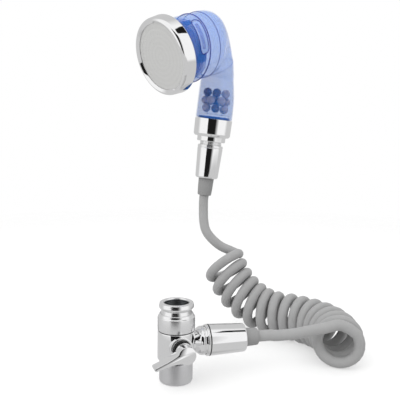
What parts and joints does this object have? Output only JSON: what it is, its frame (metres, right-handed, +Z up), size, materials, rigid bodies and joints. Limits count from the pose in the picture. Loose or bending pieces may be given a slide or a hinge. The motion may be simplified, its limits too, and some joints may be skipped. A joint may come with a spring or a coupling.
{
  "type": "handheld bath sprayer",
  "caption": "Handheld bath sprayer with a translucent round head, a coiled hose and a lever-operated tap diverter valve.",
  "frame": {"origin": "centre of the valve inlet's top rim, on the inlet's axis", "axes": "+Z up along the inlet; +X along the side outlet towards the hose; -Y out along the lever's stem"},
  "size_m": [0.1814, 0.1753, 0.2948],
  "materials": {
    "chrome": "polished plating",
    "satin_metal": "satin plating",
    "plate_steel": "matt, with rings of fine holes",
    "steel_mesh": "woven wire",
    "brass": "bare, machined",
    "blue_shell": "translucent blue moulded plastic",
    "blue_inner": "dark blue moulded plastic",
    "grey_hose": "matt grey, soft sheen",
    "grey_sleeve": "matt grey",
    "black_rubber": "black, matt",
    "white_plastic": "white moulded plastic",
    "mineral": "unglazed ceramic, grey blue",
    "mineral_light": "unglazed ceramic, pale grey"
  },
  "bodies": {
    "valve": {"upper_ferrule": "brass", "upper_strain_relief": "grey_sleeve", "hose_tail_upper": "grey_hose", "hose_coil": "grey_hose", "hose_tail_lower": "grey_hose", "lower_strain_relief": "grey_sleeve", "lower_ferrule": "brass", "lower_washer": "black_rubber", "valve_body": "chrome", "seat_retainer": "brass", "ball_seat_upper": "white_plastic", "ball_seat_lower": "white_plastic", "stem_oring": "black_rubber", "gland_nut": "chrome", "union_gasket": "black_rubber", "inlet_adaptor": "chrome", "inlet_washer": "black_rubber", "inlet_screen": "steel_mesh", "outlet_sleeve": "satin_metal", "aerator_gasket": "black_rubber", "aerator_housing": "white_plastic", "aerator_screen": "steel_mesh"},
    "lever": {"lever": "chrome", "lever_grub_screw": "steel_mesh", "stem": "brass", "diverter_ball": "brass"},
    "union": {"union_collar": "chrome"},
    "lower_nut": {"lower_hose_nut": "chrome"},
    "handset": {"face_ring": "chrome", "spray_plate": "plate_steel", "plate_carrier": "white_plastic", "face_seal": "black_rubber", "head_shell": "blue_shell", "diffuser_cup": "blue_inner", "filter_disc": "steel_mesh", "handle_shell": "blue_shell", "upper_ball_grid": "blue_shell", "lower_ball_grid": "blue_shell", "mineral_ball_01": "mineral", "mineral_ball_02": "mineral_light", "mineral_ball_03": "mineral_light", "mineral_ball_04": "mineral_light", "mineral_ball_05": "mineral_light", "mineral_ball_06": "mineral_light", "mineral_ball_07": "mineral_light", "mineral_ball_08": "mineral_light", "mineral_ball_09": "mineral_light", "mineral_ball_10": "mineral_light", "mineral_ball_11": "mineral_light", "mineral_ball_12": "mineral", "mineral_ball_13": "mineral_light", "mineral_ball_14": "mineral", "mineral_ball_15": "mineral_light", "mineral_ball_16": "mineral", "handle_collar": "chrome", "collar_seal": "black_rubber", "handset_spigot": "chrome", "upper_washer": "black_rubber", "upper_hose_nut": "chrome"}
  },
  "joints": [
    {"name": "lever_turn", "type": "hinge", "parent": "valve", "child": "lever", "pos_m": [0, 0, -0.0315], "axis": [0.0698, -0.9976, 0], "range_deg": [-20, 70]},
    {"name": "union_collar_spin", "type": "hinge", "parent": "valve", "child": "union", "pos_m": [0, 0, -0.0148], "axis": [0, 0, 1], "continuous": true},
    {"name": "lower_nut_spin", "type": "hinge", "parent": "valve", "child": "lower_nut", "pos_m": [0.038, 0, -0.0315], "axis": [1, 0, 0], "continuous": true},
    {"name": "handset_swivel", "type": "hinge", "parent": "valve", "child": "handset", "pos_m": [0.0582, 0.1269, 0.1129], "axis": [0.1065, -0.0265, 0.994], "continuous": true}
  ]
}
